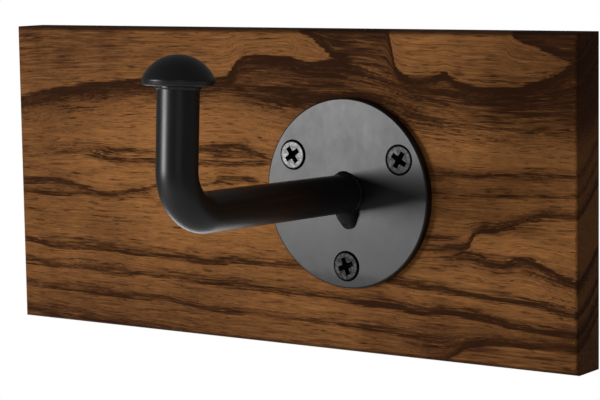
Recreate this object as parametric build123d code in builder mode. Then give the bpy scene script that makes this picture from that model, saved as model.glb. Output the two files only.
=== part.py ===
from build123d import *
from math import cos, radians, sin, tan
import os

# Wall hook rack: a stained hardwood board that carries one welded steel hook.
# Frame: +X to the right along the board, +Z up, and the wall is the plane Y = 0.
# The rack stands out from the wall towards -Y. The origin lies on the wall,
# straight behind the centre of the hook's round mounting plate.
# All sizes are in millimetres and all angles in degrees.

# ---- driving dimensions -----------------------------------------------------

# board, nominal 1 x 6 hardwood
board_left = -190.0
board_right = 110.0
board_height = 139.7
board_thickness = 19.05
board_centre_z = 0.2
board_front_arris = 1.6
board_back_arris = 0.6

# mounting plate, a 3-1/4 inch disc with three countersunk holes
plate_diameter = 82.55
plate_thickness = 4.0
plate_edge_break = 0.35
screw_circle_radius = 31.5
screw_hole_diameter = 6.6
countersink_mouth = 13.4
countersink_angle = 82.0

# hook, cold bent from round bar, with a turned spigot for its cap
rod_diameter = 16.7
arm_reach = 122.0
arm_rise = 1.6
post_lean = 3.6
bend_radius = 17.5
post_height = 50.3
spigot_diameter = 8.0
spigot_length = 5.0
spigot_chamfer = 0.5

# domed end cap, bored for the spigot
cap_diameter = 28.7
cap_rim_height = 3.0
cap_dome_height = 9.3
cap_rim_rounding = 1.2
cap_shoulder_rounding = 0.6
cap_bore_clearance = 0.1

# weld beads: under the cap, and round the foot of the arm with its run-out lump
cap_weld_leg = 1.5
root_weld_leg = 2.2
weld_toe = 0.3
lump_drop = 6.5
lump_along_arm = 7.0
lump_width = 8.0
lump_rounding = 1.2

# plate screws, 6 mm flat-head wood screws with a cross recess
plate_screw_angle = {"left": 150.0, "right": 30.0, "bottom": 270.0}
plate_screw_proud = {"left": 0.7, "right": 0.0, "bottom": 0.7}
plate_screw_turn = {"left": 35.0, "right": -33.0, "bottom": 21.0}
plate_screw = {"head": 12.0, "land": 0.78, "thread": 6.0, "core": 4.2, "pitch": 2.4, "length": 20.0}
plate_recess = {"span": 6.8, "wing": 1.7, "floor_span": 2.8, "floor_wing": 1.1, "depth": 3.2}
plate_shank_length = 5.4

# keyhole hangers, let flush into the back of the board
hanger_x = {"left": -145.0, "right": 65.0}
hanger_z = 36.0
hanger_width = 16.0
hanger_height = 46.0
hanger_thickness = 1.6
hanger_gap = 0.2
keyhole_entry_diameter = 9.4
keyhole_slot_width = 5.0
keyhole_travel = 12.0
keyhole_entry_drop = 6.0
pocket_width = 12.4
pocket_height = 26.0
pocket_depth = 8.0
hanger_screw_offset = 18.0
hanger_hole_diameter = 3.4
hanger_countersink_mouth = 6.0
hanger_screw_sunk = 0.1
hanger_screw = {"head": 5.6, "land": 0.1, "thread": 3.0, "core": 2.0, "pitch": 1.2, "length": 12.0}
hanger_recess = {"span": 3.2, "wing": 0.8, "floor_span": 1.4, "floor_wing": 0.5, "depth": 1.4}
hanger_shank_length = 2.6

# room round a screw's thread in the wood, and beyond its tip
pilot_clearance = 0.05
pilot_mouth_break = 0.5
tip_clearance = 0.8

# ---- places worked out from them --------------------------------------------

board_middle_x = (board_left + board_right) / 2
board_front = -board_thickness
plate_front = board_front - plate_thickness
rod_radius = rod_diameter / 2
cap_radius = cap_diameter / 2

# Planes across the rack look out from the wall, so their X and Y are the rack's X and Z.
wall_plane = Plane.XZ
board_face = Plane.XZ.offset(board_thickness)
plate_face = Plane.XZ.offset(board_thickness + plate_thickness)
board_back = Plane(origin=(0, 0, 0), x_dir=(-1, 0, 0), z_dir=(0, 1, 0))

across = Vector(1, 0, 0)
arm_direction = Vector(0, -cos(radians(arm_rise)), sin(radians(arm_rise)))
post_direction = Vector(0, sin(radians(post_lean)), cos(radians(post_lean)))
arm_start = Vector(0, board_front, 0)
arm_foot = arm_start + arm_direction * (plate_thickness / cos(radians(arm_rise)))
elbow = arm_start + arm_direction * arm_reach
post_top = elbow + post_direction * post_height
post_top_plane = Plane(origin=post_top, x_dir=across, z_dir=post_direction)

# half planes for turned shapes: X is the radius, Y runs along the axis
arm_half_plane = Plane(origin=arm_foot, x_dir=across, z_dir=across.cross(arm_direction))
post_half_plane = Plane(origin=post_top, x_dir=across, z_dir=across.cross(post_direction))


def finish_part(builder, name):
    """Label a finished piece and write it to a STEP file of its own."""
    builder.part.label = name
    export_step(builder.part, f"parts/{name}.step")


def weld_section(plane, radius, leg):
    """Half section of a slightly hollow fillet that starts on a round bar of this radius."""
    with BuildSketch(plane) as section:
        with BuildLine():
            Polyline((radius, leg), (radius, -weld_toe), (radius + leg, -weld_toe), (radius + leg, 0))
            RadiusArc((radius + leg, 0), (radius, leg), 2.2 * leg)
        make_face()
    return section.sketch.face()


def cross_section(plane, span, wing):
    """The four-winged cross of a driver recess."""
    with BuildSketch(plane) as cross:
        Rectangle(span, wing)
        Rectangle(wing, span)
    return cross.sketch.face()


def screw_outline(size, shank_length):
    """List the half outline of a wood screw as (radius, depth) points from its head to its tip."""
    head = size["head"] / 2
    core = size["core"] / 2
    thread = size["thread"] / 2
    pitch = size["pitch"]
    cone_end = size["land"] + (head - core) / tan(radians(countersink_angle / 2))
    points = [(0, 0), (head, 0), (head, size["land"]), (core, cone_end)]
    depth = max(cone_end, shank_length) + 0.2 * pitch
    point_start = size["length"] - 1.6 * size["thread"]
    while depth + pitch < size["length"] - 0.5 * pitch:
        slimmed = max(0.0, depth - point_start) / (size["length"] - point_start)
        root = core * (1 - 0.8 * slimmed)
        crest = thread * (1 - 0.7 * slimmed)
        points += [(root, depth), (crest, depth + 0.35 * pitch), (root, depth + 0.7 * pitch)]
        depth += pitch
    points.append((0, size["length"]))
    return points


def wood_screw(head_plane, size, recess, shank_length):
    """Make a flat-head wood screw: head_plane lies on its head, with Z running down to the tip."""
    half_plane = Plane(
        origin=head_plane.origin,
        x_dir=head_plane.x_dir,
        z_dir=head_plane.x_dir.cross(head_plane.z_dir),
    )
    with BuildPart() as screw:
        with BuildSketch(half_plane):
            with BuildLine():
                Polyline(*screw_outline(size, shank_length), close=True)
            make_face()
        revolve(axis=Axis(head_plane.origin, head_plane.z_dir))
        mouth = cross_section(head_plane, recess["span"], recess["wing"])
        floor_plane = head_plane.offset(recess["depth"])
        floor = cross_section(floor_plane, recess["floor_span"], recess["floor_wing"])
        loft([mouth, floor], mode=Mode.SUBTRACT)
    return screw


# Head planes of the three plate screws. A screw that stands proud isn't driven quite home.
plate_screw_plane = {}
for side, angle in plate_screw_angle.items():
    head_centre = (
        screw_circle_radius * cos(radians(angle)),
        plate_front - plate_screw_proud[side],
        screw_circle_radius * sin(radians(angle)),
    )
    turn = radians(plate_screw_turn[side])
    plate_screw_plane[side] = Plane(
        origin=head_centre, x_dir=(cos(turn), 0, -sin(turn)), z_dir=(0, 1, 0)
    )

# Head planes of the four hanger screws, which are driven in from the back.
hanger_screw_plane = {}
for side, x in hanger_x.items():
    for level, sign in (("upper", 1), ("lower", -1)):
        hanger_screw_plane[f"{side}_{level}"] = Plane(
            origin=(x, -hanger_screw_sunk, hanger_z + sign * hanger_screw_offset),
            x_dir=across,
            z_dir=(0, -1, 0),
        )

os.makedirs("parts", exist_ok=True)

# ---- board ------------------------------------------------------------------

with BuildPart() as board:
    with BuildSketch(wall_plane):
        with Locations((board_middle_x, board_centre_z)):
            Rectangle(board_right - board_left, board_height)
    extrude(amount=board_thickness)
    fillet(board.faces().sort_by(Axis.Y).first.edges(), board_front_arris)
    chamfer(board.faces().sort_by(Axis.Y).last.edges(), board_back_arris)

    # holes in the face for the plate screws
    for side, plane in plate_screw_plane.items():
        in_wood = plate_screw["length"] - plate_thickness - plate_screw_proud[side] + tip_clearance
        with Locations(board_face):
            with Locations((plane.origin.X, plane.origin.Z)):
                pilot_radius = plate_screw["thread"] / 2 + pilot_clearance
                CounterSinkHole(
                    pilot_radius,
                    pilot_radius + pilot_mouth_break,
                    depth=in_wood,
                    counter_sink_angle=countersink_angle,
                )

    # seats for the hangers, and deeper pockets for the heads of the wall screws
    with BuildSketch(wall_plane):
        with Locations(*[(x, hanger_z) for x in hanger_x.values()]):
            SlotOverall(hanger_height + 2 * hanger_gap, hanger_width + 2 * hanger_gap, rotation=90)
    extrude(amount=hanger_thickness, mode=Mode.SUBTRACT)
    with BuildSketch(wall_plane):
        with Locations(*[(x, hanger_z) for x in hanger_x.values()]):
            SlotOverall(pocket_height, pocket_width, rotation=90)
    extrude(amount=pocket_depth, mode=Mode.SUBTRACT)
    with Locations(board_back):
        with Locations(*[(-plane.origin.X, plane.origin.Z) for plane in hanger_screw_plane.values()]):
            Hole(
                hanger_screw["thread"] / 2 + pilot_clearance,
                depth=hanger_screw["length"] + hanger_screw_sunk + tip_clearance,
            )

finish_part(board, "board")

# ---- mounting plate ---------------------------------------------------------

with BuildPart() as mounting_plate:
    with BuildSketch(board_face):
        Circle(plate_diameter / 2)
    extrude(amount=plate_thickness)
    chamfer(mounting_plate.edges().filter_by(GeomType.CIRCLE), plate_edge_break)
    with Locations(plate_face):
        with PolarLocations(screw_circle_radius, len(plate_screw_angle), plate_screw_angle["right"]):
            CounterSinkHole(
                screw_hole_diameter / 2,
                countersink_mouth / 2,
                counter_sink_angle=countersink_angle,
            )

finish_part(mounting_plate, "mounting_plate")

# ---- hook rod ---------------------------------------------------------------

with BuildPart() as hook_rod:
    with BuildLine(Plane.YZ):
        FilletPolyline(
            (arm_start.Y, arm_start.Z),
            (elbow.Y, elbow.Z),
            (post_top.Y, post_top.Z),
            radius=bend_radius,
        )
    with BuildSketch(Plane(origin=arm_start, x_dir=across, z_dir=arm_direction)):
        Circle(rod_radius)
    sweep()
    # the foot is cut off flat against the plate
    split(bisect_by=plate_face, keep=Keep.TOP)
    with BuildSketch(post_top_plane):
        Circle(spigot_diameter / 2)
    extrude(amount=spigot_length)
    chamfer(hook_rod.edges().filter_by(GeomType.CIRCLE).sort_by(Axis.Z).last, spigot_chamfer)

finish_part(hook_rod, "hook_rod")

# ---- end cap ----------------------------------------------------------------

cap_bore_radius = spigot_diameter / 2 + cap_bore_clearance
cap_bore_depth = spigot_length + cap_bore_clearance
cap_dome_radius = (cap_radius**2 + cap_dome_height**2) / (2 * cap_dome_height)
cap_top = cap_rim_height + cap_dome_height

with BuildPart() as hook_cap:
    with BuildSketch(post_half_plane) as cap_half:
        with BuildLine():
            Polyline(
                (0, cap_top),
                (0, cap_bore_depth),
                (cap_bore_radius, cap_bore_depth),
                (cap_bore_radius, 0),
                (cap_radius, 0),
                (cap_radius, cap_rim_height),
            )
            RadiusArc((cap_radius, cap_rim_height), (0, cap_top), -cap_dome_radius)
        make_face()
        fillet(cap_half.vertices().group_by(Axis.X)[-1].sort_by(Axis.Y).first, cap_rim_rounding)
        fillet(cap_half.vertices().group_by(Axis.X)[-1].sort_by(Axis.Y).last, cap_shoulder_rounding)
    revolve(axis=Axis(post_top, post_direction))

finish_part(hook_cap, "hook_cap")

# ---- weld beads -------------------------------------------------------------

with BuildPart() as cap_weld:
    under_cap = Plane(origin=post_top, x_dir=across, z_dir=-across.cross(post_direction))
    revolve(weld_section(under_cap, rod_radius, cap_weld_leg), axis=Axis(post_top, post_direction))
    split(bisect_by=post_top_plane, keep=Keep.BOTTOM)

finish_part(cap_weld, "cap_weld")

with BuildPart() as root_weld:
    revolve(weld_section(arm_half_plane, rod_radius, root_weld_leg), axis=Axis(arm_foot, arm_direction))
    # where the bead ran out: a lump below the arm, deepest against the plate
    with BuildSketch(Plane.YZ):
        with BuildLine():
            Polyline(
                (plate_front + weld_toe, 0),
                (plate_front + weld_toe, -rod_radius - lump_drop),
                (plate_front - 0.25 * lump_along_arm, -rod_radius - lump_drop),
                (plate_front - lump_along_arm, -rod_radius - 0.1 * lump_drop),
                (plate_front - lump_along_arm, 0),
                close=True,
            )
        make_face()
    extrude(amount=lump_width / 2, both=True)
    fillet(root_weld.edges().filter_by(Axis.X).group_by(Axis.Z)[0], lump_rounding)
    with BuildSketch(Plane(origin=arm_start, x_dir=across, z_dir=arm_direction)):
        Circle(rod_radius)
    extrude(amount=3 * lump_along_arm, mode=Mode.SUBTRACT)
    split(bisect_by=plate_face, keep=Keep.TOP)

finish_part(root_weld, "root_weld")

# ---- plate screws -----------------------------------------------------------

for side, plane in plate_screw_plane.items():
    screw = wood_screw(plane, plate_screw, plate_recess, plate_shank_length)
    finish_part(screw, f"plate_screw_{side}")

# ---- keyhole hangers and their screws ---------------------------------------

for side, x in hanger_x.items():
    entry_z = hanger_z - keyhole_entry_drop
    with BuildPart() as hanger:
        with BuildSketch(wall_plane):
            with Locations((x, hanger_z)):
                SlotOverall(hanger_height, hanger_width, rotation=90)
            with Locations((x, entry_z)):
                Circle(keyhole_entry_diameter / 2, mode=Mode.SUBTRACT)
            with Locations((x, entry_z + keyhole_travel / 2)):
                SlotCenterToCenter(keyhole_travel, keyhole_slot_width, rotation=90, mode=Mode.SUBTRACT)
        extrude(amount=hanger_thickness)
        with Locations(board_back):
            with Locations(*[(-x, hanger_z + sign * hanger_screw_offset) for sign in (1, -1)]):
                CounterSinkHole(
                    hanger_hole_diameter / 2,
                    hanger_countersink_mouth / 2,
                    counter_sink_angle=countersink_angle,
                )
    finish_part(hanger, f"keyhole_hanger_{side}")

for place, plane in hanger_screw_plane.items():
    screw = wood_screw(plane, hanger_screw, hanger_recess, hanger_shank_length)
    finish_part(screw, f"hanger_screw_{place}")
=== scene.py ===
from math import atan2, cos, exp, pi, radians, sin, tan

import bmesh
import bpy
from mathutils import Matrix, Vector, noise


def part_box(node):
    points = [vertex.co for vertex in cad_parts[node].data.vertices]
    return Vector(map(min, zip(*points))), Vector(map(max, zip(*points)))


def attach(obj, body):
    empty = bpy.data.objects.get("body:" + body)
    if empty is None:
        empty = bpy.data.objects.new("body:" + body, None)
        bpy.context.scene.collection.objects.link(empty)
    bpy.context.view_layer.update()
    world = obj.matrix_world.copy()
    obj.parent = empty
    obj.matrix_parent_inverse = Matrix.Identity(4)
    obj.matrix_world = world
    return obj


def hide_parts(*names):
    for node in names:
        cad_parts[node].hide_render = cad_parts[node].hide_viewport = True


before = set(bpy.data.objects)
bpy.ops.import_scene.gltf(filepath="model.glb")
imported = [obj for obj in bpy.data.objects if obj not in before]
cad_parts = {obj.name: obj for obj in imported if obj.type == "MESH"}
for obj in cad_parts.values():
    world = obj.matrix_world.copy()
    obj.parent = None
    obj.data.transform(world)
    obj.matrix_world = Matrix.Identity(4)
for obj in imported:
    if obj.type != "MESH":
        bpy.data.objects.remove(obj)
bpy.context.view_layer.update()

MM = 0.001

# ---- the rack's measures, read from its nodes ---------------------------------

board_low, board_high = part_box("board")
plate_low, plate_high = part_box("mounting_plate")
rod_low, rod_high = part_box("hook_rod")
cap_low, cap_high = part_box("hook_cap")

BOARD_FRONT = board_low.y
PLATE_FRONT = plate_low.y
PLATE_RADIUS = (plate_high.x - plate_low.x) / 2
ROD_RADIUS = (rod_high.x - rod_low.x) / 2

# The arm rises a little from the wall and the post leans a little back.
ARM_RISE = radians(1.6)
POST_LEAN = radians(3.6)
RIGHT = Vector((1, 0, 0))
ARM_WAY = Vector((0, -cos(ARM_RISE), sin(ARM_RISE)))
POST_WAY = Vector((0, sin(POST_LEAN), cos(POST_LEAN)))
ARM_FOOT = Vector((0, PLATE_FRONT, (BOARD_FRONT - PLATE_FRONT) * tan(ARM_RISE)))

# The post's axis runs up through the middle of the cap's flat underside.
cap_points = [v.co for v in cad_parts["hook_cap"].data.vertices]
CAP_FOOT_RISE = min(point.dot(POST_WAY) for point in cap_points)
CAP_HEIGHT = max(point.dot(POST_WAY) for point in cap_points) - CAP_FOOT_RISE
CAP_RADIUS = (cap_high.x - cap_low.x) / 2
cap_middle_y = sum(point.y for point in cap_points) / len(cap_points)
cap_middle_z = sum(point.z for point in cap_points) / len(cap_points)
cap_middle = Vector((0, cap_middle_y, cap_middle_z))
CAP_FOOT = cap_middle + POST_WAY * (CAP_FOOT_RISE - cap_middle.dot(POST_WAY))

# Sizes in mm of what is turned or bent. They are the CAD parts' own, apart from the rims of
# the plate and the cap, which are rounded more, and the cap's slight bulge.
BEND_RADIUS = 17.5
CAP = {"bore": 4.1, "bore_depth": 5.1, "rim": 3.0, "rim_rounding": 1.3, "rim_bulge": 0.25}
SPIGOT = {"radius": 4.0, "length": 5.0, "chamfer": 0.5}
PLATE = {"rounding": 0.8, "back_break": 0.35, "hole": 3.3, "mouth": 6.7}

# Screws: how far each plate screw stands turned, in degrees, and their sizes in mm. Core,
# thread and pitch are the CAD screws' own; the plate screws' recesses are wider, as in the photo.
PLATE_SCREW_TURN = {"left": 35.0, "right": -33.0, "bottom": 21.0}
PLATE_SCREW = {"land": 0.55, "core": 2.1, "thread": 3.0, "pitch": 2.4, "shank": 6.2}
PLATE_RECESS = {"span": 7.7, "wing": 2.2, "depth": 3.2}
HANGER_SCREW = {"land": 0.1, "core": 1.0, "thread": 1.5, "pitch": 1.2, "shank": 2.8}
HANGER_RECESS = {"span": 3.3, "wing": 0.8, "depth": 1.4}
HANGER_TURN_STEP = 17.0
COUNTERSINK = radians(82.0)
screw_low, screw_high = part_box("plate_screw_left")
SCREW_HEAD = (screw_high.x - screw_low.x) / 2


# ---- mesh helpers --------------------------------------------------------------

SAME_HEIGHT = 1e-7


def add_mesh(name, mesh):
    """Put a mesh into the scene as an object."""
    piece = bpy.data.objects.new(name, mesh)
    bpy.context.scene.collection.objects.link(piece)
    return piece


def skin(name, rings, loop=False):
    """Join rings of points into a closed surface. A loop joins its last ring to its first."""
    made = bmesh.new()
    rows = [[made.verts.new(point) for point in ring] for ring in rings]
    pairs = list(zip(rows, rows[1:]))
    if loop:
        pairs.append((rows[-1], rows[0]))
    for one, other in pairs:
        for i in range(len(one)):
            j = (i + 1) % len(one)
            made.faces.new((one[i], one[j], other[j], other[i]))
    if not loop:
        made.faces.new(rows[0])
        made.faces.new(rows[-1])
    bmesh.ops.recalc_face_normals(made, faces=made.faces)
    mesh = bpy.data.meshes.new(name)
    made.to_mesh(mesh)
    made.free()
    return add_mesh(name, mesh)


def apply_modifiers(piece):
    """Bake a piece's modifiers into its mesh."""
    shape = piece.evaluated_get(bpy.context.evaluated_depsgraph_get())
    finished = bpy.data.meshes.new_from_object(shape)
    piece.modifiers.clear()
    piece.data = finished


def smooth(piece, sharp_angle=38.0):
    """Shade a piece smooth, apart from its sharp edges."""
    piece.data.shade_smooth()
    piece.data.set_sharp_from_angle(angle=radians(sharp_angle))


def ring(radius, height, count):
    """A level ring of points round Z."""
    turns = [2 * pi * i / count for i in range(count)]
    return [Vector((radius * cos(a), radius * sin(a), height)) for a in turns]


def place_mesh(piece, origin, outward):
    """Move a mesh made round Z so that its Z runs outward and its X right. Its object stays at 0."""
    turn = Matrix((RIGHT, outward.cross(RIGHT), outward)).transposed().to_4x4()
    piece.data.transform(Matrix.Translation(origin) @ turn)


def arc(radius, height, size, start, end, steps):
    """Points of an arc round (radius, height) in a turned outline, from start to end degrees."""
    turns = [radians(start + (end - start) * k / steps) for k in range(steps + 1)]
    return [(radius + size * cos(a), height + size * sin(a)) for a in turns]


def cut_away(piece, cutter):
    """Take a cutter's shape out of a piece, and drop the cutter."""
    cut = piece.modifiers.new("cut", "BOOLEAN")
    cut.operation = "DIFFERENCE"
    cut.solver = "EXACT"
    cut.object = cutter
    apply_modifiers(piece)
    bpy.data.objects.remove(cutter)


def weight_normals(piece):
    """Keep large flat faces flat where they meet small rounded ones."""
    weighted = piece.modifiers.new("flat_faces", "WEIGHTED_NORMAL")
    weighted.keep_sharp = True
    apply_modifiers(piece)


# ---- plate, rod and cap ----------------------------------------------------------

def mounting_disc():
    """The round plate: rounded front edge, broken back edge, and three countersunk holes."""
    count = 224
    thick = plate_high.y - plate_low.y
    rounding, back = PLATE["rounding"] * MM, PLATE["back_break"] * MM
    outline = [(PLATE_RADIUS - back, -thick), (PLATE_RADIUS, back - thick)]
    outline += arc(PLATE_RADIUS - rounding, -rounding, rounding, 0, 90, 8)

    disc = skin("mounting_plate_disc", [ring(r, h, count) for r, h in outline])
    hole, mouth = PLATE["hole"] * MM, PLATE["mouth"] * MM
    cone = (mouth - hole) / tan(COUNTERSINK / 2)
    turned = [(hole, -2 * thick), (hole, -cone), (mouth, 0.0), (mouth + cone, 1.15 * cone)]
    for side in PLATE_SCREW_TURN:
        low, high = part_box(f"plate_screw_{side}")
        cutter = skin("countersink", [ring(r, h, 72) for r, h in turned])
        cutter.data.transform(Matrix.Translation(((low.x + high.x) / 2, (low.z + high.z) / 2, 0)))
        cut_away(disc, cutter)

    worn = disc.modifiers.new("worn_edges", "BEVEL")
    worn.width = 0.1 * MM
    worn.segments = 2
    worn.limit_method = "ANGLE"
    worn.angle_limit = radians(36)
    apply_modifiers(disc)
    smooth(disc, 50.0)
    weight_normals(disc)
    place_mesh(disc, Vector((0, PLATE_FRONT, 0)), Vector((0, -1, 0)))
    return disc


def bent_rod():
    """The hook's bar: arm, bend and post, a little flattened in the bend, with the cap's spigot."""
    count = 96
    flattened, widened = 0.018, 0.008
    waver_length, waver_size = 14 * MM, 0.035 * MM
    across = ARM_WAY.y * POST_WAY.z - ARM_WAY.z * POST_WAY.y
    gap = CAP_FOOT - ARM_FOOT
    elbow = ARM_FOOT + ARM_WAY * ((gap.y * POST_WAY.z - gap.z * POST_WAY.y) / across)
    turn = ARM_WAY.angle(POST_WAY)
    setback = BEND_RADIUS * MM * tan(turn / 2)
    bend_start, bend_end = elbow - ARM_WAY * setback, elbow + POST_WAY * setback
    inward = ARM_WAY.cross(RIGHT)
    hub = bend_start + inward * BEND_RADIUS * MM

    stations = []
    arm_steps, bend_steps, post_steps = 26, 36, 12
    for k in range(arm_steps):
        stations.append((ARM_FOOT.lerp(bend_start, k / arm_steps), ARM_WAY, 0.0))
    for k in range(bend_steps):
        share = k / bend_steps
        swing = turn * share
        spoke = ARM_WAY * sin(swing) - inward * cos(swing)
        heading = ARM_WAY * cos(swing) + inward * sin(swing)
        stations.append((hub + spoke * BEND_RADIUS * MM, heading, sin(pi * share)))
    for k in range(post_steps + 1):
        stations.append((bend_end.lerp(CAP_FOOT, k / post_steps), POST_WAY, 0.0))

    rings = []
    for centre, heading, bent in stations:
        outer = RIGHT.cross(heading).normalized()
        row = []
        for i in range(count):
            a = 2 * pi * i / count
            flat = 1 - flattened * bent * abs(sin(a))
            wide = 1 + widened * bent
            point = centre + ROD_RADIUS * (RIGHT * cos(a) * wide + outer * sin(a) * flat)
            waver = noise.noise(point / waver_length) * waver_size
            point += (point - centre).normalized() * waver
            row.append(point)
        rings.append(row)

    # The foot is cut off flat against the plate, and the top is turned down to the spigot.
    rings[0] = [p + ARM_WAY * ((PLATE_FRONT - p.y) / ARM_WAY.y) for p in rings[0]]
    size, long, chamfer = (SPIGOT[key] * MM for key in ("radius", "length", "chamfer"))
    rings[-1] = [CAP_FOOT + (p - CAP_FOOT).normalized() * ROD_RADIUS for p in rings[-1]]
    spokes = [(p - CAP_FOOT).normalized() for p in rings[-1]]
    for radius, height in ((size, 0.0), (size, long - chamfer), (size - chamfer, long)):
        rings.append([CAP_FOOT + spoke * radius + POST_WAY * height for spoke in spokes])
    rod = skin("hook_bar", rings)
    smooth(rod, 40.0)
    return rod


def domed_cap():
    """The mushroom cap: flat underneath and bored, with a rounded, slightly bulged rim and a low dome."""
    count = 128
    bore, deep, rim = (CAP[key] * MM for key in ("bore", "bore_depth", "rim"))
    rounding, bulge = (CAP[key] * MM for key in ("rim_rounding", "rim_bulge"))
    pole = 0.05 * MM
    edge = CAP_RADIUS - bulge
    outline = [(pole, deep), (bore, deep), (bore, 0.0)]
    outline += arc(edge - rounding, rounding, rounding, -90, 0, 8)[:-1]
    rim_steps = 6
    for k in range(rim_steps + 1):
        share = k / rim_steps
        outline.append((edge + bulge * sin(pi * share), rounding + (rim - rounding) * share))

    dome = CAP_HEIGHT - rim
    sphere = (edge**2 + dome**2) / (2 * dome)
    start = atan2(rim - (CAP_HEIGHT - sphere), edge)
    steps = 30
    for k in range(1, steps + 1):
        a = start + (pi / 2 - start) * k / steps
        outline.append((max(pole, sphere * cos(a)), CAP_HEIGHT - sphere + sphere * sin(a)))
    cap = skin("hook_cap_dome", [ring(r, h, count) for r, h in outline])
    place_mesh(cap, CAP_FOOT, POST_WAY)
    smooth(cap, 50.0)
    return cap


# ---- screws --------------------------------------------------------------------

# How a cross recess narrows on its way down: shares of its span, its wing and its depth.
RECESS_TAPER = (
    (1.04, 1.04, 0.1),
    (0.98, 0.98, -0.08),
    (0.68, 0.82, -0.6),
    (0.42, 0.66, -0.95),
    (0.1, 0.2, -1.2),
)


def cross_ring(span, wing, height):
    """The outline of a cross recess, with its four inner corners rounded."""
    half, side = span / 2, wing / 2
    corner = 0.25 * wing
    quarter = [
        (half, -side),
        (half, side),
        (side + corner, side),
        (side + 0.3 * corner, side + 0.3 * corner),
        (side, side + corner),
    ]
    points = []
    for turn in range(4):
        c, s = cos(turn * pi / 2), sin(turn * pi / 2)
        points += [Vector((c * x - s * y, s * x + c * y, height)) for x, y in quarter]
    return points


def screw_head(name, radius, size, recess, count):
    """The head of a countersunk screw with a cross recess, down to the end of its cone."""
    core = size["core"] * MM
    land = size["land"] * MM
    cone_end = land + (radius - core) / tan(COUNTERSINK / 2)
    edge = 0.22 * land + 0.02 * MM
    rounding = (0, pi / 6, pi / 3, pi / 2)
    rings = [ring(radius - edge * (1 - sin(a)), -edge * (1 - cos(a)), count) for a in rounding]
    rings += [ring(radius, -land, count), ring(core, -cone_end, count)]
    head = skin(name, rings)

    span, wing, depth = (recess[key] * MM for key in ("span", "wing", "depth"))
    crosses = [cross_ring(a * span, b * wing, c * depth) for a, b, c in RECESS_TAPER]
    cut_away(head, skin(name + "_recess", crosses))

    opened = bmesh.new()
    opened.from_mesh(head.data)
    ends = [f for f in opened.faces if all(abs(v.co.z + cone_end) < SAME_HEIGHT for v in f.verts)]
    bmesh.ops.delete(opened, geom=ends, context="FACES_ONLY")
    opened.to_mesh(head.data)
    opened.free()

    bevel = head.modifiers.new("worn_edges", "BEVEL")
    bevel.width = 0.03 * wing
    bevel.segments = 2
    bevel.limit_method = "ANGLE"
    bevel.angle_limit = radians(40)
    apply_modifiers(head)
    return head, cone_end


def screw_shank(name, start, length, size, count):
    """A wood screw's shank, from the end of its cone to its point, with a helical thread."""
    core, thread, pitch = size["core"] * MM, size["thread"] * MM, size["pitch"] * MM
    plain_end = max(start, size["shank"] * MM)
    point_start = length - 3.2 * thread
    rows = [ring(core, -start, count)]
    steps = 14
    step = pitch / steps
    total = int((length - plain_end) / step)
    for k in range(total + 1):
        depth = plain_end + k * step
        slim = max(0.0, (depth - point_start) / (length - point_start))
        body = core * max(0.04, 1 - slim**1.4)
        grow = min(1.0, k / steps) * max(0.0, 1 - slim**3)
        row = []
        for i in range(count):
            angle = 2 * pi * i / count
            phase = (depth / pitch - i / count) % 1.0
            crest = max(0.0, 1 - abs(phase - 0.5) / 0.28)
            radius = body + (thread - core) * grow * crest
            row.append(Vector((radius * cos(angle), radius * sin(angle), -depth)))
        rows.append(row)
    return skin(name, rows)


def wood_screw(node, size, recess, turn, outward):
    """A whole screw in a CAD screw's place, turned in degrees. Its own Z runs out of its head.

    outward is -1 for a screw in the rack's face and 1 for one in its back.
    """
    low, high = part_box(node)
    count = 64
    head_y = low.y if outward < 0 else high.y
    radius = (high.x - low.x) / 2
    length = high.y - low.y
    head, start = screw_head(node + "_made", radius, size, recess, count)
    shank = screw_shank(node + "_shank", start, length, size, count)
    joined = bmesh.new()
    joined.from_mesh(head.data)
    joined.from_mesh(shank.data)
    caps = [f for f in joined.faces if len(f.verts) == count]
    tops = [f for f in caps if abs(f.calc_center_median().z + start) < SAME_HEIGHT]
    bmesh.ops.delete(joined, geom=tops, context="FACES_ONLY")
    bmesh.ops.remove_doubles(joined, verts=joined.verts, dist=2e-6)
    joined.to_mesh(head.data)
    joined.free()
    bpy.data.objects.remove(shank)
    smooth(head, 32.0)
    weight_normals(head)
    place = Vector(((low.x + high.x) / 2, head_y, (low.z + high.z) / 2))
    facing = Matrix.Rotation(-outward * pi / 2, 4, "X")
    head.matrix_world = Matrix.Translation(place) @ facing @ Matrix.Rotation(radians(turn), 4, "Z")
    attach(head, "root")
    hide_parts(node)
    return head


# ---- weld beads ----------------------------------------------------------------

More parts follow.
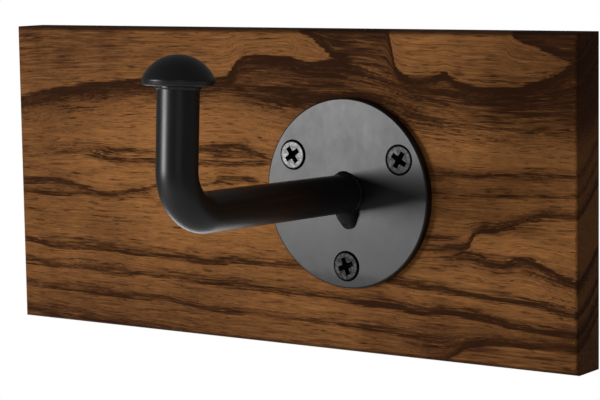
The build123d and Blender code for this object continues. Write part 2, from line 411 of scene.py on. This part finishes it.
def weld_bead(name, foot, way, legs, lumpiness, count, ripples, roughness):
    """A bead round a bar, from its foot along its way.

    legs(angle) gives its reach out from the bar and along it, in mm, and
    lumpiness(angle) is 1 where it is a plain lump and 0 where it is a rippled bead.
    """
    up = way.cross(RIGHT)
    buried = 0.35 * MM
    ripple_height = 0.13 * MM
    grain_length, lump_length = 1.5 * MM, 3.4 * MM
    elsewhere = Vector((7, 3, 5))
    arc_points = 14
    rows = []
    for i in range(count):
        angle = 2 * pi * i / count
        outward = RIGHT * cos(angle) + up * sin(angle)
        lump = lumpiness(angle)
        out, along = (leg * MM for leg in legs(angle))
        section = [(-buried, -buried), (out, -buried)]
        for k in range(arc_points + 1):
            t = k / arc_points * pi / 2
            hollow = 1.05 + 0.85 * lump
            section.append((out * cos(t) ** hollow, along * sin(t) ** hollow))
        section.append((-buried, along))
        row = []
        for k, (r, s) in enumerate(section):
            point = foot + outward * (ROD_RADIUS + r) + way * s
            if 2 <= k <= arc_points + 2:
                swell = sin((k - 2) / arc_points * pi)
                wave = abs(sin(0.5 * ripples * angle + 0.6 * swell))
                bump = ripple_height * (wave - 0.6) * (1 - lump)
                grain = noise.noise(point / grain_length) * roughness * MM
                lumpy = noise.noise(point / lump_length + elsewhere) * 2.4 * roughness * MM
                point += (outward + way) * 0.7 * swell * (bump + grain + lumpy)
            row.append(point)
        rows.append(row)
    bead = skin(name, rows, loop=True)
    smooth(bead, 55.0)
    return bead


def root_lump(angle):
    """1 at the run-out lump below the arm, falling to 0 round the rest of its foot."""
    middle, spread = radians(-83), radians(24)
    off = abs((angle - middle + pi) % (2 * pi) - pi)
    return exp(-((off / spread) ** 2.6))


def root_legs(angle):
    """The bead at the arm's foot: small round the arm, full on top, with a lump hanging below it."""
    middle, spread = radians(98), radians(30)
    top = exp(-(((angle - middle) / spread) ** 2))
    lump = root_lump(angle)
    return 0.7 + 0.6 * top + 6.4 * lump, 1.3 + 1.6 * top + 4.6 * lump**0.7


def cap_legs(angle):
    """The even little bead under the cap."""
    return 0.85 + 0.1 * sin(3 * angle), 1.35 + 0.12 * sin(2 * angle + 1)


def no_lump(angle):
    """A bead with no lump anywhere."""
    return 0.0


def root_bead():
    """The bead that holds the arm to the plate."""
    return weld_bead(
        "root_weld_bead", ARM_FOOT, ARM_WAY, root_legs, root_lump, count=264, ripples=40, roughness=0.24
    )


def cap_bead():
    """The bead that holds the cap to the post."""
    return weld_bead(
        "cap_weld_bead", CAP_FOOT, -POST_WAY, cap_legs, no_lump, count=200, ripples=34, roughness=0.1
    )


# ---- material helpers ----------------------------------------------------------

class Tree:
    """A material's nodes, with short ways to add what the materials here need."""

    def __init__(self, name):
        self.material = bpy.data.materials.new(name)
        self.material.use_nodes = True
        self.tree = self.material.node_tree
        self.tree.nodes.clear()
        self.output = self.tree.nodes.new("ShaderNodeOutputMaterial")
        self.shader = self.add("ShaderNodeBsdfPrincipled")
        self.link(self.shader.outputs[0], self.output.inputs[0])
        self.place = self.add("ShaderNodeTexCoord").outputs["Object"]

    def add(self, kind, **settings):
        made = self.tree.nodes.new(kind)
        for key, value in settings.items():
            setattr(made, key, value)
        return made

    def link(self, source, target):
        self.tree.links.new(source, target)

    def feed(self, socket, value):
        """Link a socket to another, or set it to a plain value."""
        if isinstance(value, bpy.types.NodeSocket):
            self.link(value, socket)
        else:
            socket.default_value = value

    def math(self, operation, *values):
        """Work out one sum of up to three values."""
        made = self.add("ShaderNodeMath", operation=operation)
        for socket, value in zip(made.inputs, values):
            self.feed(socket, value)
        return made.outputs[0]

    def swing(self, value, size):
        """A noise's value moved to swing about 0, and scaled."""
        return self.math("MULTIPLY", self.math("SUBTRACT", value, 0.5), size)

    def fit(self, value, low, high, to_low=0.0, to_high=1.0, soft=True):
        """Map a value from one range to another, clamped."""
        kind = "SMOOTHSTEP" if soft else "LINEAR"
        made = self.add("ShaderNodeMapRange", interpolation_type=kind)
        for socket, number in zip(made.inputs, (value, low, high, to_low, to_high)):
            self.feed(socket, number)
        return made.outputs[0]

    def scaled(self, vector, scale):
        made = self.add("ShaderNodeMapping")
        self.feed(made.inputs["Vector"], vector)
        made.inputs["Scale"].default_value = scale
        return made.outputs[0]

    def noise(self, vector, scale, detail=2.0, roughness=0.5, distortion=0.0):
        """Fractal noise: its value as a number. scale is per metre, one number for each axis."""
        made = self.add("ShaderNodeTexNoise")
        self.feed(made.inputs["Vector"], self.scaled(vector, scale))
        made.inputs["Scale"].default_value = 1.0
        made.inputs["Detail"].default_value = detail
        made.inputs["Roughness"].default_value = roughness
        made.inputs["Distortion"].default_value = distortion
        return made.outputs[0]

    def blend(self, factor, one, other):
        """Mix two colours: a factor of 0 gives the first and 1 the second."""
        made = self.add("ShaderNodeMix", data_type="RGBA", blend_type="MIX")
        self.feed(made.inputs[0], factor)
        self.feed(made.inputs[6], (*one, 1) if isinstance(one, tuple) else one)
        self.feed(made.inputs[7], (*other, 1) if isinstance(other, tuple) else other)
        return made.outputs[2]

    def bump(self, height, distance, strength=1.0, below=None):
        made = self.add("ShaderNodeBump")
        made.inputs["Distance"].default_value = distance
        made.inputs["Strength"].default_value = strength
        self.feed(made.inputs["Height"], height)
        if below is not None:
            self.link(below, made.inputs["Normal"])
        return made.outputs[0]

    def curve(self, value, points):
        """A smooth curve through given points, which all lie within 0 to 1."""
        made = self.add("ShaderNodeFloatCurve")
        self.feed(made.inputs["Value"], value)
        line = made.mapping.curves[0]
        while len(line.points) < len(points):
            line.points.new(0.5, 0.5)
        for knot, (x, y) in zip(line.points, points):
            knot.location = (x, y)
            knot.handle_type = "AUTO_CLAMPED"
        made.mapping.update()
        return made.outputs[0]


# ---- stained wood --------------------------------------------------------------

# The growth lines on the board's face, from the bottom up. Each has the height that it
# keeps in straight wood, how far its dark pores reach below and above it, the tone of
# the wood above it, and points (x, z, strength). Lengths are in mm, from the plate's middle.
GROWTH_LINES = [
    (-68, 0.8, 3.0, 0.0, [
        (-190, -66, 0.6), (-130, -69, 0.5), (-60, -72, 0.3), (30, -72, 0.3), (46, -69, 0.5),
        (52, -66, 0.8), (60, -62, 0.9), (80, -60, 0.9), (110, -59, 0.8)]),
    (-58, 0.6, 2.5, 0.0, [
        (-190, -54, 0.6), (-110, -56, 0.7), (-30, -58, 0.6), (30, -60, 0.8), (45, -61, 0.6),
        (60, -58.5, 0.3), (110, -56.5, 0.3)]),
    (-48, 0.6, 3.5, 0.02, [
        (-190, -44, 0.6), (-120, -45, 0.7), (-60, -46.5, 0.8), (0, -48, 0.8), (30, -49, 0.95),
        (60, -50, 0.95), (85, -53, 0.9), (110, -54, 0.9)]),
    (-37, 0.6, 3.5, 0.05, [
        (-190, -33, 0.7), (-160, -35, 0.8), (-130, -34, 0.8), (-100, -35, 0.8), (-80, -37, 0.95),
        (-60, -35, 0.85), (-33, -34, 0.7), (22, -38, 0.8), (40, -40, 0.9), (60, -41, 0.9),
        (80, -42, 0.9), (110, -46, 0.9)]),
    (-24, 4.5, 0.6, 0.3, [
        (-190, -21, 0.12), (-60, -24, 0.1), (30, -25, 0.2), (48, -24, 0.8), (58, -22, 0.95),
        (75, -25, 0.95), (85, -23, 0.9), (95, -26, 0.9), (110, -31, 0.9)]),
    (-16, 0.6, 3.2, 0.0, [
        (-190, -19.5, 0.1), (-60, -22.5, 0.1), (30, -23, 0.2), (48, -21.5, 0.8), (58, -20.5, 0.95),
        (62, -15, 0.95), (75, -11, 0.85), (90, -7, 0.8), (110, -5, 0.8)]),
    (-9, 0.6, 2.0, 0.0, [
        (-190, -9.5, 0.7), (-165, -9, 0.8), (-150, -8.3, 0.8), (-140, -9.5, 0.7), (-115, -8, 0.3),
        (-90, -8, 0.1), (0, -9, 0.1), (60, -8, 0.15), (90, -5.5, 0.15), (110, -3, 0.15)]),
    (-3, 2.4, 0.8, 0.05, [
        (-190, -3, 0.8), (-170, -2, 0.85), (-158, -3, 0.9), (-150, -5, 0.9), (-140, -7.5, 0.9),
        (-130, -6.5, 0.8), (-115, -4.5, 0.8), (-105, -2.5, 0.5), (-90, -3, 0.15), (0, -5, 0.1),
        (60, -5, 0.15), (110, -1, 0.15)]),
    (1, 0.6, 2.2, 0.12, [
        (-190, 2, 0.15), (-100, 1, 0.15), (-76, 0, 0.4), (-68, 2.5, 0.9), (-60, 2.5, 0.9),
        (-50, 1, 0.6), (-42, 0, 0.2), (30, 0.5, 0.2), (42, 2, 0.6), (80, 2.5, 0.65), (110, 4, 0.6)]),
    (9.5, 1.8, 1.6, 0.1, [
        (-190, 9, 0.15), (-148, 12, 0.7), (-135, 8.5, 0.9), (-120, 8, 0.9), (-80, 10, 0.95),
        (-55, 11, 0.9), (-42, 12, 0.6), (-20, 10, 0.2), (35, 9, 0.2), (42, 9.5, 0.25), (110, 9.5, 0.25)]),
    (13, 1.4, 2.2, 0.0, [
        (-190, 10.5, 0.15), (-148, 13.5, 0.6), (-130, 12.5, 0.8), (-110, 12, 0.6), (-85, 15, 0.9),
        (-60, 17, 0.95), (-50, 15.5, 0.9), (-42, 13.5, 0.7), (-20, 11.5, 0.2), (35, 10.5, 0.4),
        (42, 11.5, 0.6), (60, 11, 0.7), (110, 11.5, 0.6)]),
    (38, 7.0, 3.0, -0.3, [
        (-190, 30, 0.1), (-150, 36, 0.2), (-110, 40, 0.3), (-75, 45, 0.5), (-50, 43.5, 0.85),
        (-20, 41.5, 0.95), (0, 41, 0.95), (20, 39, 0.75), (40, 34, 0.65), (70, 30, 0.5), (110, 30, 0.5)]),
    (49, 8.0, 0.6, 0.4, [
        (-190, 37, 0.7), (-150, 43, 0.9), (-110, 46, 0.9), (-80, 47.5, 0.9), (-65, 50, 0.9),
        (-62, 53, 1), (-58, 57, 1), (-50, 58, 1), (-35, 58, 1), (-20, 55.5, 1), (-8, 57, 1),
        (5, 55, 0.8), (20, 50, 0.7), (28, 47.5, 0.7), (50, 46, 0.8), (65, 43, 0.8), (85, 44, 0.8),
        (110, 48, 0.7)]),
    (59, 0.6, 5.0, -0.45, [
        (-190, 78, 0), (-32, 78, 0.5), (-28, 71, 1), (-20, 67, 1), (-12, 62, 1), (-7, 58, 1),
        (5, 56.5, 0.5), (20, 51.5, 0.4), (28, 48.5, 0.4), (50, 47.3, 0.4), (65, 44.2, 0.4),
        (85, 45.2, 0.4), (110, 49.2, 0.4)]),
    (66, 6.0, 0.6, 0.4, [
        (-190, 80, 0), (18, 80, 0.5), (20, 71, 1), (22, 62, 1), (24, 55.5, 1), (28, 52, 1),
        (34, 50, 1), (42, 51, 1), (48, 53, 1), (51, 50.5, 1), (55, 48.2, 1), (65, 46.5, 1),
        (75, 47, 1), (85, 48.5, 1), (95, 51, 1), (103, 54, 1), (107, 57, 1), (110, 58, 0.8)]),
    (74, 0.6, 5.0, -0.35, [
        (-190, 82, 0), (76, 82, 0.5), (79, 71.5, 1), (82, 67, 1), (92, 64, 1), (100, 61, 1),
        (107, 58.5, 1), (110, 59.5, 0.8)]),
]

# The stretch of the board that the lines' points cover, and how soft their dark bands are.
GROWTH_LEFT, GROWTH_RIGHT = -190.0, 110.0
GROWTH_LOW, GROWTH_HIGH = -80.0, 86.0
BAND_SPREAD = 2.0

# Where the wood is crowded with pores beside a line's turn: x, z, half length, half height
# and strength, in mm.
CROWDED = [
    (-140, 11.0, 16, 4.5, 0.75), (-62, 13.5, 26, 4.5, 0.6), (-70, 1.5, 14, 2.6, 0.55),
    (-120, -4.0, 18, 3.0, 0.5), (48, -20, 16, 7.5, 0.62), (72, -24, 22, 3.4, 0.6),
    (76, -11, 24, 3.4, 0.6), (95, -28, 22, 3.4, 0.5), (75, 38, 60, 9.0, 0.3),
    (-5, 49, 50, 7.0, 0.35), (-130, 38, 50, 4.0, 0.4), (45, -62, 26, 4.0, 0.4),
]

# Where the wood is lighter and darker: x, z, half length, half height, in mm, and
# how much lighter the wood is there. Part is the stain's own uneven tone; the big light
# patch left of the middle is a painted pool of light, and the dark corners are painted shade.
STAIN_TONE_AND_PAINTED_LIGHT = [
    (-80, 8, 95, 40, 0.85), (72, 24, 60, 16, 0.5), (-62, -24, 70, 16, 0.5), (75, -42, 60, 16, 0.25),
    (82, -18.5, 26, 5, 0.5), (-25, -60, 60, 16, 0.15), (45, 3, 40, 26, -0.12), (60, -20, 70, 30, 0.15),
    (-100, -50, 120, 16, 0.2), (-190, 75, 160, 42, -0.7), (110, 50, 80, 34, -0.45),
    (90, -66, 130, 30, -0.45), (-130, -66, 140, 30, -0.5),
]


def patch(t, x, z, middle_x, middle_z, half_length, half_height):
    """1 in the middle of a soft-edged oval of the board's face, falling to 0 at its rim.

    x and z are sockets; the oval's middle and half sizes are in mm.
    """
    off_x = t.math("MULTIPLY", t.math("SUBTRACT", x, middle_x * MM), 1 / (half_length * MM))
    off_z = t.math("MULTIPLY", t.math("SUBTRACT", z, middle_z * MM), 1 / (half_height * MM))
    squared = t.math("ADD", t.math("MULTIPLY", off_x, off_x), t.math("MULTIPLY", off_z, off_z))
    return t.fit(squared, 1.0, 0.0)


def growth_curves(t, x):
    """Each growth line's height and strength along the board, as pairs of sockets."""
    along = t.fit(x, GROWTH_LEFT * MM, GROWTH_RIGHT * MM, soft=False)
    width = GROWTH_RIGHT - GROWTH_LEFT
    height = GROWTH_HIGH - GROWTH_LOW
    curves = []
    for *_, points in GROWTH_LINES:
        places = [((px - GROWTH_LEFT) / width, (pz - GROWTH_LOW) / height) for px, pz, _ in points]
        rise = t.math("MULTIPLY_ADD", t.curve(along, places), height * MM, GROWTH_LOW * MM)
        strength = t.curve(along, [((px - GROWTH_LEFT) / width, share) for px, _, share in points])
        curves.append((rise, strength))
    return curves


def growth(t, x, z, level):
    """How dark with pores the wood is, its tone, and the height that it would have in straight grain."""
    step_half = 1.6 * MM
    curves = growth_curves(t, x)
    dark, tone, last_tone = 0.0, 0.0, 0.0
    straight = GROWTH_LINES[0][0] * MM
    for i, ((line, strength), spec) in enumerate(zip(curves, GROWTH_LINES)):
        rest, below, above, wood_tone, _ = spec
        off = t.math("SUBTRACT", level, line)
        under = t.fit(off, -BAND_SPREAD * below * MM, 0.0)
        over = t.fit(off, 0.0, BAND_SPREAD * above * MM, 1.0, 0.0)
        band = t.math("MULTIPLY", t.math("MINIMUM", under, over), strength)
        dark = t.math("MAXIMUM", dark, band)
        step = t.math("MULTIPLY", t.fit(off, -step_half, step_half), wood_tone - last_tone)
        tone = t.math("ADD", tone, step)
        last_tone = wood_tone
        if i + 1 < len(curves):
            share = t.fit(level, line, curves[i + 1][0], soft=False)
            climb = t.math("MULTIPLY", share, (GROWTH_LINES[i + 1][0] - rest) * MM)
            straight = t.math("ADD", climb, straight)

    # The dark zones between the light tongues, and the crowded patches, are full of pores.
    dark = t.math("MAXIMUM", dark, t.fit(tone, 0.0, -0.45, 0.0, 0.6))
    for *place, strength in CROWDED:
        dark = t.math("MAXIMUM", dark, t.math("MULTIPLY", patch(t, x, z, *place), strength))
    return dark, tone, straight


def edge_shade_and_dark_ends(t, x, z):
    """Painted shade along the board's long edges, where the rounded arris and the top and bottom faces turn
    from the light, and darker wood at its ends.
    """
    middle = (board_low + board_high) / 2
    half = (board_high - board_low) / 2
    off_z = t.math("ABSOLUTE", t.math("SUBTRACT", z, middle.z))
    off_x = t.math("ABSOLUTE", t.math("SUBTRACT", x, middle.x))
    # Painted shade: the long edges are darkened in the colour, standing in for the shaded arris.
    edge = t.fit(off_z, half.z - 2.2 * MM, half.z - 0.7 * MM)
    end = t.fit(off_x, half.x - 0.9 * MM, half.x - 0.2 * MM)
    return t.math("MAXIMUM", t.math("MULTIPLY", edge, 0.72), t.math("MULTIPLY", end, 0.5))


def stained_wood():
    """Open-pored hardwood, stained mid brown: cathedral grain, pores, end grain, darker ends, a painted
    sheen, a painted pool of light with painted shade in the corners, and painted shade on the long edges.
    """
    t = Tree("oiled_hardwood")
    split = t.add("ShaderNodeSeparateXYZ")
    t.feed(split.inputs[0], t.place)
    x, y, z = split.outputs
    depth = t.math("SUBTRACT", y, BOARD_FRONT)

    # Inside the board the growth rings dip away from the face, in shallow arcs.
    dip = t.math("MULTIPLY", depth, t.math("ADD", t.math("MULTIPLY", depth, 14.0), 0.45))
    level = t.math("SUBTRACT", z, dip)
    # Fibres wander a little, and their ends make every growth line ragged.
    level = t.math("ADD", level, t.swing(t.noise(t.place, (22, 60, 60), 2), 5.0 * MM))
    level = t.math("ADD", level, t.swing(t.noise(t.place, (48, 1400, 1400), 3, 0.62), 4.4 * MM))
    dark, tone, straight = growth(t, x, z, level)

    # Pores: hair-thin streaks along the grain that crowd together at the growth lines.
    flow = t.add("ShaderNodeCombineXYZ")
    t.feed(flow.inputs[0], x)
    t.feed(flow.inputs[1], depth)
    t.feed(flow.inputs[2], t.math("ADD", t.math("MULTIPLY", straight, 0.7), t.math("MULTIPLY", z, 0.3)))
    grain = flow.outputs[0]
    hair = t.noise(grain, (36, 1700, 1700), 3, 0.66)
    coarse = t.noise(grain, (30, 520, 520), 2, 0.5)
    fibre = t.noise(grain, (40, 2600, 2600), 3, 0.7)
    dash = t.noise(grain, (120, 2900, 2900), 2, 0.55)
    crowd = t.math("ADD", t.swing(hair, 5.0), t.math("MULTIPLY", dark, 0.98))
    crowd = t.math("ADD", crowd, t.math("MULTIPLY", t.fit(dark, 0.5, 1.0), 0.22))
    crowd = t.math("ADD", crowd, t.swing(coarse, 1.1))
    crowd = t.math("ADD", crowd, t.swing(dash, 1.4))
    pores = t.fit(crowd, 0.36, 1.08)
    specks = t.fit(dash, 0.52, 0.68)

    # Colour: stained ground, lighter tongues, a painted silky sheen, dark pores.
    painted_sheen = t.noise(t.place, (24, 14, 14), 3, 0.6, 0.6)
    broad = t.noise(t.place, (9, 9, 14), 1)
    lightness = t.math("ADD", t.math("MULTIPLY", tone, 0.7), t.swing(painted_sheen, 1.3))
    lightness = t.math("ADD", lightness, t.swing(broad, 0.5))
    lightness = t.math("ADD", lightness, t.swing(fibre, 4.4))
    # Painted light: these patches paint a pool of light left of the middle and shade in the corners, along
    # with the stain's own tone.
    for *place, lighter in STAIN_TONE_AND_PAINTED_LIGHT:
        lightness = t.math("ADD", lightness, t.math("MULTIPLY", patch(t, x, z, *place), lighter))
    lightness = t.math("SUBTRACT", lightness, t.math("MULTIPLY", dark, 0.95))
    light_share = t.fit(lightness, -1.15, 1.15, soft=False)
    ground = t.blend(light_share, (0.07, 0.0218, 0.0053), (0.475, 0.196, 0.0565))
    speckled = t.blend(t.math("MULTIPLY", specks, 0.55), ground, (0.06, 0.0205, 0.0063))
    pored = t.blend(t.math("MULTIPLY", pores, 0.9), speckled, (0.038, 0.0145, 0.0061))
    # Painted shade on the long edges, and darker ends.
    finished = t.blend(edge_shade_and_dark_ends(t, x, z), pored, (0.04, 0.015, 0.008))

    t.link(finished, t.shader.inputs["Base Color"])
    t.shader.inputs["Specular IOR Level"].default_value = 0.05
    t.link(t.fit(pores, 0.0, 1.0, 0.58, 0.8, soft=False), t.shader.inputs["Roughness"])
    holes = t.math("ADD", pores, t.math("MULTIPLY", specks, 0.5))
    relief = t.math("SUBTRACT", t.math("MULTIPLY", coarse, 0.35), holes)
    t.link(t.bump(relief, 0.06 * MM, 0.6), t.shader.inputs["Normal"])
    return t.material


# ---- metals and coat -------------------------------------------------------------

def black_coat(name, dark, light, smudged=False, shine=0.5):
    """Satin black powder coat: faint orange peel, uneven gloss, and smudges where it is handled."""
    t = Tree(name)
    blotch = t.noise(t.place, (70, 70, 70), 3, 0.55, 0.3)
    peel = t.noise(t.place, (620, 620, 620), 2, 0.5)
    powder = t.noise(t.place, (2600, 2600, 2600), 2, 0.5)
    colour = t.blend(blotch, dark, light)
    gloss = t.fit(blotch, 0.3, 0.7, 0.325, 0.355, soft=False)
    if smudged:
        split = t.add("ShaderNodeSeparateXYZ")
        t.feed(split.inputs[0], t.place)
        rubbed = t.noise(t.place, (40, 40, 70), 4, 0.6, 0.5)
        sag = t.math("ADD", split.outputs[2], t.swing(rubbed, 22 * MM))
        low_down = t.fit(sag, -0.76 * PLATE_RADIUS, -0.92 * PLATE_RADIUS)
        wiped = t.noise(t.place, (230, 230, 170), 4, 0.65)
        gloss = t.math("ADD", gloss, t.swing(wiped, 0.09))
        gloss = t.math("ADD", gloss, t.math("MULTIPLY", low_down, 0.15))
    t.link(colour, t.shader.inputs["Base Color"])
    t.link(gloss, t.shader.inputs["Roughness"])
    t.shader.inputs["Specular IOR Level"].default_value = shine
    soft_peel = t.bump(peel, 0.012 * MM, 0.5)
    t.link(t.bump(powder, 0.003 * MM, 0.5, soft_peel), t.shader.inputs["Normal"])
    return t.material


def screw_steel(name, head_radius, dark, light, roughness):
    """Plated screw steel: turning marks round the head, rubbed patches, and painted shade in the recess and
    round the rim.
    """
    t = Tree(name)
    split = t.add("ShaderNodeSeparateXYZ")
    t.feed(split.inputs[0], t.place)
    x, y, z = split.outputs
    radius = t.math("SQRT", t.math("ADD", t.math("MULTIPLY", x, x), t.math("MULTIPLY", y, y)))
    patches = t.noise(t.place, (520, 520, 520), 4, 0.65, 0.6)
    turned = t.add("ShaderNodeTexNoise", noise_dimensions="1D")
    t.feed(turned.inputs["W"], t.math("MULTIPLY", radius, 9000.0))
    scratches = t.noise(t.place, (400, 5200, 400), 2, 0.6)
    worn = t.blend(t.fit(patches, 0.32, 0.68), dark, light)
    # Painted shade: the recess and the head's rim are darkened nearly to black.
    sunk = t.fit(z, -0.1 * MM, -0.6 * MM)
    ragged = t.math("ADD", radius, t.math("MULTIPLY", patches, 0.5 * MM))
    rim = t.fit(ragged, head_radius - 0.35 * MM, head_radius)
    recess_and_rim_shade = t.math("MULTIPLY", t.math("MAXIMUM", sunk, rim), 0.96)
    t.link(t.blend(recess_and_rim_shade, worn, (0.008, 0.008, 0.009)), t.shader.inputs["Base Color"])
    t.shader.inputs["Metallic"].default_value = 1.0
    gloss = t.fit(patches, 0.3, 0.7, roughness + 0.08, roughness - 0.06, soft=False)
    t.link(gloss, t.shader.inputs["Roughness"])
    rings = t.bump(turned.outputs[0], 0.01 * MM, 0.35)
    t.link(t.bump(scratches, 0.008 * MM, 0.4, rings), t.shader.inputs["Normal"])
    return t.material


def hanger_zinc():
    """Zinc-plated pressed steel: faint spangle, drawing lines along the plate, dull patches."""
    t = Tree("bright_zinc")
    spangle = t.add("ShaderNodeTexVoronoi")
    t.feed(spangle.inputs["Vector"], t.scaled(t.place, (420, 420, 420)))
    spangle.inputs["Scale"].default_value = 1.0
    drawn = t.noise(t.place, (4200, 900, 60), 3, 0.6)
    dull = t.noise(t.place, (90, 90, 90), 3, 0.6, 0.5)
    grain = t.blend(t.fit(spangle.outputs["Distance"], 0.1, 0.8), (0.40, 0.41, 0.43), (0.56, 0.57, 0.58))
    colour = t.blend(t.fit(dull, 0.5, 0.75, 0.0, 0.6), grain, (0.30, 0.30, 0.30))
    t.link(colour, t.shader.inputs["Base Color"])
    t.shader.inputs["Metallic"].default_value = 1.0
    t.link(t.fit(drawn, 0.3, 0.7, 0.28, 0.42, soft=False), t.shader.inputs["Roughness"])
    t.link(t.bump(drawn, 0.01 * MM, 0.5), t.shader.inputs["Normal"])
    return t.material


def pale_floor():
    """A plain pale studio floor with a trace of unevenness."""
    t = Tree("pale_floor")
    colour = t.blend(t.noise(t.place, (6, 6, 6)), (0.78, 0.78, 0.78), (0.82, 0.82, 0.82))
    t.link(colour, t.shader.inputs["Base Color"])
    t.shader.inputs["Roughness"].default_value = 0.6
    t.shader.inputs["Emission Color"].default_value = (1, 1, 1, 1)
    t.shader.inputs["Emission Strength"].default_value = 0.2
    return t.material


def dress(piece, material):
    """Give a piece one material."""
    piece.data.materials.clear()
    piece.data.materials.append(material)


# ---- camera ----------------------------------------------------------------------

def aim_camera():
    """The photograph's view: from the right and a little above, looking at the plate."""
    place = Vector((0.5239, -0.80575, 0.1084))
    yaw, pitch, roll = radians(34.99), radians(-6.71), radians(-0.92)
    camera = bpy.data.objects.new("camera", bpy.data.cameras.new("camera"))
    bpy.context.scene.collection.objects.link(camera)
    camera.data.lens = 132.1
    camera.matrix_world = (
        Matrix.Translation(place)
        @ Matrix.Rotation(yaw, 4, "Z")
        @ Matrix.Rotation(pi / 2 + pitch, 4, "X")
        @ Matrix.Rotation(roll, 4, "Z")
    )
    bpy.context.scene.camera = camera


aim_camera()


# ---- the pieces ------------------------------------------------------------------

wood = stained_wood()
coat = black_coat("satin_black_coat", (0.006, 0.006, 0.0063), (0.009, 0.009, 0.0095))
plate_coat = black_coat("satin_black_plate", (0.002, 0.002, 0.0021), (0.003, 0.003, 0.0031), smudged=True)
weld_coat = black_coat("satin_black_weld", (0.006, 0.006, 0.0063), (0.009, 0.009, 0.0095), shine=0.22)
zinc = hanger_zinc()
# One screw steel in three copies, made lighter or darker only to paint how much light each head catches.
steels = {
    "left": screw_steel("screw_steel_painted_lit", SCREW_HEAD, (0.055, 0.055, 0.056), (0.1, 0.1, 0.102), 0.34),
    "right": screw_steel("screw_steel_painted_half_lit", SCREW_HEAD, (0.018, 0.018, 0.019), (0.042, 0.042, 0.043), 0.36),
    "bottom": screw_steel("screw_steel_painted_shaded", SCREW_HEAD, (0.008, 0.008, 0.0085), (0.04, 0.04, 0.041), 0.38),
}

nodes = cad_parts
dress(nodes["board"], wood)
for name in ("keyhole_hanger_left", "keyhole_hanger_right"):
    dress(nodes[name], zinc)

made = (
    (mounting_disc(), "mounting_plate", plate_coat),
    (bent_rod(), "hook_rod", coat),
    (domed_cap(), "hook_cap", coat),
    (root_bead(), "root_weld", weld_coat),
    (cap_bead(), "cap_weld", coat),
)
for piece, node, material in made:
    dress(piece, material)
    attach(piece, "root")
    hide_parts(node)

for side, turn in PLATE_SCREW_TURN.items():
    screw = wood_screw(f"plate_screw_{side}", PLATE_SCREW, PLATE_RECESS, turn, -1)
    dress(screw, steels[side])

for i, place in enumerate(("left_upper", "left_lower", "right_upper", "right_lower")):
    screw = wood_screw(f"hanger_screw_{place}", HANGER_SCREW, HANGER_RECESS, HANGER_TURN_STEP * i, 1)
    dress(screw, zinc)


# ---- light, floor and background ---------------------------------------------------

def softbox(name, azimuth, elevation, distance, size, radiance):
    """A rectangular soft light aimed at the plate. Azimuth 0 is straight in front of it, + is right."""
    lamp = bpy.data.lights.new(name, "AREA")
    lamp.shape = "RECTANGLE"
    lamp.size, lamp.size_y = size
    lamp.energy = 4 * size[0] * size[1] * radiance
    light = bpy.data.objects.new(name, lamp)
    bpy.context.scene.collection.objects.link(light)
    a, e = radians(azimuth), radians(elevation)
    target = Vector((0, PLATE_FRONT, 0))
    light.location = target + distance * Vector((sin(a) * cos(e), -cos(a) * cos(e), sin(e)))
    light.rotation_euler = (target - light.location).to_track_quat("-Z", "Y").to_euler()


# The plate mirrors the key. The table light stands for what a pale table top throws back.
softbox("key", -36.0, 1.8, 1.5, (0.46, 0.42), 12.8)
softbox("fill", 43.0, 10.0, 1.8, (0.8, 1.0), 0.25)
softbox("table", -140.0, -42.0, 0.42, (0.6, 0.22), 1.6)

# The camera sees a white background; everything else is lit by a dim one.
world = bpy.data.worlds.new("studio")
world.use_nodes = True
studio = world.node_tree
studio.nodes.clear()
seen = studio.nodes.new("ShaderNodeBackground")
seen.inputs["Strength"].default_value = 1.0
around = studio.nodes.new("ShaderNodeBackground")
around.inputs["Strength"].default_value = 0.13
for background in (seen, around):
    background.inputs["Color"].default_value = (1, 1, 1, 1)
ray = studio.nodes.new("ShaderNodeLightPath")
either = studio.nodes.new("ShaderNodeMixShader")
world_output = studio.nodes.new("ShaderNodeOutputWorld")
studio.links.new(ray.outputs["Is Camera Ray"], either.inputs[0])
studio.links.new(around.outputs[0], either.inputs[1])
studio.links.new(seen.outputs[0], either.inputs[2])
studio.links.new(either.outputs[0], world_output.inputs[0])
bpy.context.scene.world = world
bpy.context.scene.view_settings.view_transform = "Standard"

FLOOR_DROP = 0.25
bpy.ops.mesh.primitive_plane_add(size=1.6, location=(0, -0.1, board_low.z - FLOOR_DROP))
floor = bpy.context.object
floor.name = "floor"
dress(floor, pale_floor())
